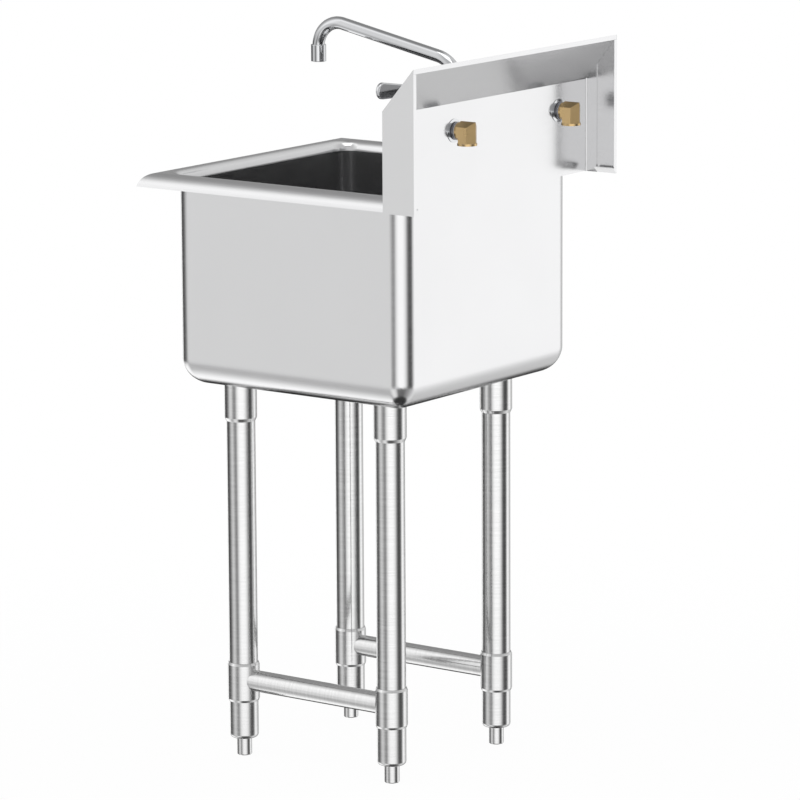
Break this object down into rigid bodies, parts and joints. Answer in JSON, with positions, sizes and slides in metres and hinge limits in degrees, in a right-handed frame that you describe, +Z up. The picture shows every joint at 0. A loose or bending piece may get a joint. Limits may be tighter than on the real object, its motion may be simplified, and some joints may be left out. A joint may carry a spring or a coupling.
{
  "type": "utility laundry sink",
  "caption": "Free-standing square stainless laundry sink with a rolled rim, tall splash, wall faucet with swivel spout, tubular legs with side rails and adjustable feet.",
  "frame": {"origin": "centre of the bounding box's underside, on the floor under the bowl", "axes": "+Z up, +Y towards the splash and the wall, +X to the right of a user who faces the splash"},
  "size_m": [0.4916, 0.487, 1.0532],
  "materials": {
    "bowl_steel": "fine brushed stainless sheet",
    "splash_steel": "fine brushed stainless sheet",
    "frame_steel": "polished stainless tube with fine lines",
    "foot_steel": "turned stainless",
    "screw_steel": "dull socket set screws",
    "strainer_steel": "polished stainless pressing",
    "chrome": "polished chrome plate",
    "brass": "machined brass",
    "rubber": "black moulded rubber"
  },
  "bodies": {
    "sink": {"bowl": "bowl_steel", "backsplash": "splash_steel", "end_cap_left": "splash_steel", "end_cap_right": "splash_steel", "leg_socket_front_left": "frame_steel", "leg_socket_front_right": "frame_steel", "leg_socket_back_left": "frame_steel", "leg_socket_back_right": "frame_steel", "leg_front_left": "frame_steel", "leg_front_right": "frame_steel", "leg_back_left": "frame_steel", "leg_back_right": "frame_steel", "rail_collar_front_left": "frame_steel", "rail_collar_front_right": "frame_steel", "rail_collar_back_left": "frame_steel", "rail_collar_back_right": "frame_steel", "foot_plug_front_left": "frame_steel", "foot_plug_front_right": "frame_steel", "foot_plug_back_left": "frame_steel", "foot_plug_back_right": "frame_steel", "socket_screws": "screw_steel", "collar_screws": "screw_steel", "side_rail_left": "frame_steel", "side_rail_right": "frame_steel", "strainer_body": "strainer_steel", "strainer_gasket": "rubber", "strainer_nut": "brass", "faucet_body": "chrome", "spout_nut": "chrome", "spout_seal": "rubber", "inlet_flange_hot": "chrome", "mounting_washer_hot": "chrome", "mounting_nut_hot": "chrome", "supply_elbow_hot": "brass", "valve_bonnet_hot": "chrome", "inlet_flange_cold": "chrome", "mounting_washer_cold": "chrome", "mounting_nut_cold": "chrome", "supply_elbow_cold": "brass", "valve_bonnet_cold": "chrome"},
    "spout": {"spout": "chrome", "aerator": "chrome"},
    "handle_hot": {"handle_hot": "chrome", "handle_screw_hot": "chrome", "valve_stem_hot": "brass"},
    "handle_cold": {"handle_cold": "chrome", "handle_screw_cold": "chrome", "valve_stem_cold": "brass"},
    "basket": {"strainer_basket": "strainer_steel", "basket_stopper": "rubber"},
    "foot_front_left": {"foot_front_left": "foot_steel"},
    "foot_front_right": {"foot_front_right": "foot_steel"},
    "foot_back_left": {"foot_back_left": "foot_steel"},
    "foot_back_right": {"foot_back_right": "foot_steel"}
  },
  "joints": [
    {"name": "spout_swivel", "type": "hinge", "parent": "sink", "child": "spout", "pos_m": [-0.0449, 0.1117, 0.9438], "axis": [0, 0, 1], "range_deg": [-90, 90]},
    {"name": "hot_valve_turn", "type": "hinge", "parent": "sink", "child": "handle_hot", "pos_m": [-0.1465, 0.1117, 0.963], "axis": [0, 0, 1], "range_deg": [0, 90]},
    {"name": "cold_valve_turn", "type": "hinge", "parent": "sink", "child": "handle_cold", "pos_m": [0.0567, 0.1117, 0.963], "axis": [0, 0, 1], "range_deg": [-90, 0]},
    {"name": "basket_lift", "type": "slide", "parent": "sink", "child": "basket", "axis": [0, 0, 1], "range_m": [0, 0.1]},
    {"name": "foot_front_left_level", "type": "slide", "parent": "sink", "child": "foot_front_left", "axis": [0, 0, -1], "range_m": [0, 0.02]},
    {"name": "foot_front_right_level", "type": "slide", "parent": "sink", "child": "foot_front_right", "axis": [0, 0, -1], "range_m": [0, 0.02]},
    {"name": "foot_back_left_level", "type": "slide", "parent": "sink", "child": "foot_back_left", "axis": [0, 0, -1], "range_m": [0, 0.02]},
    {"name": "foot_back_right_level", "type": "slide", "parent": "sink", "child": "foot_back_right", "axis": [0, 0, -1], "range_m": [0, 0.02]}
  ]
}
